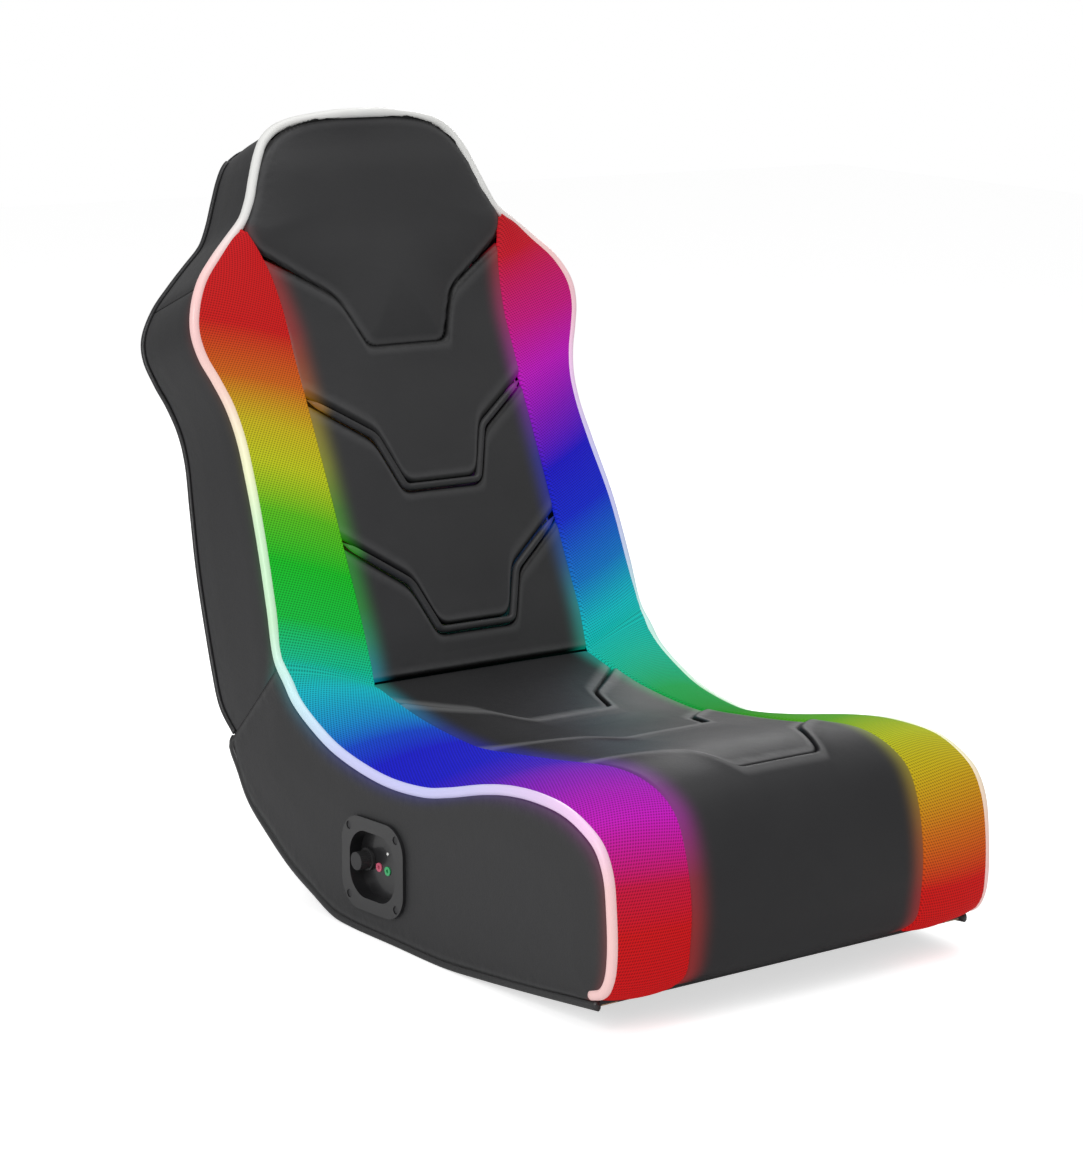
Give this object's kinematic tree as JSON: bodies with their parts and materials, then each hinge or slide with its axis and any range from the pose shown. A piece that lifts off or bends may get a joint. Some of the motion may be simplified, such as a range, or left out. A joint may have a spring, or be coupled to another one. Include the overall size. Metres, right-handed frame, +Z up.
{
  "type": "gaming rocker chair",
  "caption": "Legless floor rocker with a folding high back, lit side panels, shoulder speakers and a sound control panel in its side.",
  "frame": {"origin": "on the floor, under the middle of the chair's bounding box", "axes": "+Z up; the sitter faces -Y and leans back towards +Y; the sitter's right hand, with the control panel, is at -X"},
  "size_m": [0.4882, 0.814, 0.7548],
  "materials": {
    "plywood": "sanded, unfinished",
    "black_steel": "black powder coat",
    "zinc_steel": "zinc plated",
    "cushion_foam": "open-cell foam",
    "black_cover": "smooth coated fabric, soft sheen",
    "black_cloth": "woven, matt",
    "light_mesh": "open spacer mesh, lit from behind",
    "white_piping": "satin, translucent",
    "black_piping": "satin",
    "light_strip": "silicone sleeve with coloured lamps",
    "bezel_plastic": "glossy",
    "black_plastic": "fine texture",
    "socket_plastic": "satin",
    "board_green": "coated board"
  },
  "bodies": {
    "seat": {"rocker_runner_left": "plywood", "rocker_runner_right": "plywood", "front_board": "plywood", "middle_rail": "plywood", "rear_rail": "plywood", "seat_deck": "plywood", "hinge_seat_plate_left": "black_steel", "hinge_seat_plate_right": "black_steel", "bezel_screws": "black_steel", "hinge_pins": "zinc_steel", "hinge_bolts": "zinc_steel", "seat_foam": "cushion_foam", "seat_panel_rear": "black_cover", "seat_panel_upper": "black_cover", "seat_panel_middle": "black_cover", "seat_panel_front": "black_cover", "seat_side_left": "black_cover", "seat_side_right": "black_cover", "bottom_cover": "black_cloth", "seat_rear_cover": "black_cloth", "seat_mesh_left": "light_mesh", "seat_mesh_right": "light_mesh", "seat_piping_left": "white_piping", "seat_piping_right": "white_piping", "bottom_binding": "black_piping", "seat_light_strips": "light_strip", "power_lamp": "light_strip", "control_bezel": "bezel_plastic", "control_housing": "black_plastic", "volume_potentiometer": "black_plastic", "audio_sockets": "socket_plastic", "amplifier_board": "board_green"},
    "backrest": {"back_frame_tube": "black_steel", "back_board": "plywood", "hinge_back_plate_left": "black_steel", "hinge_back_plate_right": "black_steel", "back_foam": "cushion_foam", "back_rear_foam": "cushion_foam", "head_panel": "black_cover", "back_panel_upper": "black_cover", "back_panel_middle": "black_cover", "back_panel_lower": "black_cover", "back_band_upper": "black_cover", "back_band_lower": "black_cover", "back_mesh_left": "light_mesh", "back_mesh_right": "light_mesh", "back_light_strip_left": "light_strip", "back_light_strip_right": "light_strip", "back_piping": "white_piping", "back_welt": "black_piping", "back_side_left": "black_cover", "back_side_right": "black_cover", "head_boxing": "black_cover", "back_rear_cover": "black_cloth", "back_foot_cover": "black_cloth", "speaker_left": "black_plastic", "speaker_right": "black_plastic", "speaker_cones": "black_plastic"},
    "knob": {"volume_knob": "black_plastic", "volume_shaft": "zinc_steel"}
  },
  "joints": [
    {"name": "backrest_fold", "type": "hinge", "parent": "seat", "child": "backrest", "pos_m": [0, 0.12158, 0.23438], "axis": [1, 0, 0], "range_deg": [0, 110]},
    {"name": "volume_turn", "type": "hinge", "parent": "seat", "child": "knob", "pos_m": [-0.2232, -0.0241, 0.07437], "axis": [1, 0, 0], "range_deg": [-140, 140]}
  ]
}
